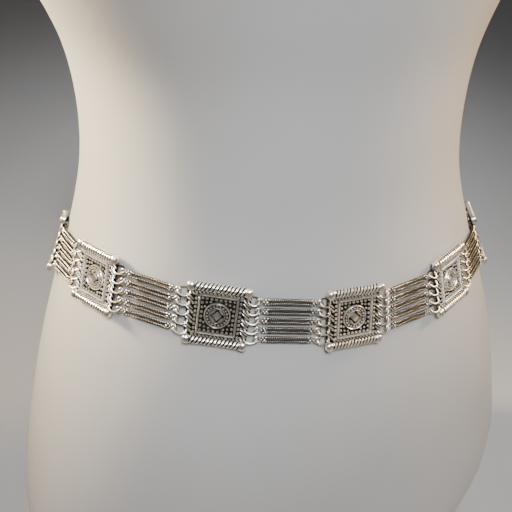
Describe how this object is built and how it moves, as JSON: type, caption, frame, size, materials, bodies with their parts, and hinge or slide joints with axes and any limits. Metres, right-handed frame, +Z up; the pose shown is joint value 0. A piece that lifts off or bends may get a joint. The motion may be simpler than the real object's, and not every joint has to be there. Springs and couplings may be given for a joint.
{
  "type": "waist chain on torso display form",
  "caption": "Waist chain of square cast plates joined by rows of double rods, closed at the back with a clasp and extender chain, on a smooth waist-and-hip display form.",
  "frame": {"origin": "middle of the display form's flat foot", "axes": "+Z up; the front of the form and of the chain faces -Y; +X is to the right as seen from the front"},
  "size_m": [0.385, 0.2958, 0.474],
  "materials": {
    "antique_silver": "antiqued satin",
    "satin_shell": "satin"
  },
  "bodies": {
    "root": {"display_form": "satin_shell", "plate_1": "antique_silver", "plate_2": "antique_silver", "plate_3": "antique_silver", "plate_4": "antique_silver", "plate_5": "antique_silver", "plate_6": "antique_silver", "plate_7": "antique_silver", "plate_8": "antique_silver", "row_1_1": "antique_silver", "row_1_2": "antique_silver", "row_1_3": "antique_silver", "row_1_4": "antique_silver", "row_1_5": "antique_silver", "row_2_1": "antique_silver", "row_2_2": "antique_silver", "row_2_3": "antique_silver", "row_2_4": "antique_silver", "row_2_5": "antique_silver", "row_3_1": "antique_silver", "row_3_2": "antique_silver", "row_3_3": "antique_silver", "row_3_4": "antique_silver", "row_3_5": "antique_silver", "row_4_1": "antique_silver", "row_4_2": "antique_silver", "row_4_3": "antique_silver", "row_4_4": "antique_silver", "row_4_5": "antique_silver", "row_5_1": "antique_silver", "row_5_2": "antique_silver", "row_5_3": "antique_silver", "row_5_4": "antique_silver", "row_5_5": "antique_silver", "row_6_1": "antique_silver", "row_6_2": "antique_silver", "row_6_3": "antique_silver", "row_6_4": "antique_silver", "row_6_5": "antique_silver", "row_7_1": "antique_silver", "row_7_2": "antique_silver", "row_7_3": "antique_silver", "row_7_4": "antique_silver", "row_7_5": "antique_silver", "end_ring_chain": "antique_silver", "end_ring_clasp": "antique_silver", "clasp": "antique_silver", "extender_chain_1": "antique_silver", "extender_chain_2": "antique_silver", "extender_chain_3": "antique_silver", "extender_chain_4": "antique_silver", "extender_chain_5": "antique_silver", "extender_chain_6": "antique_silver"}
  },
  "joints": []
}
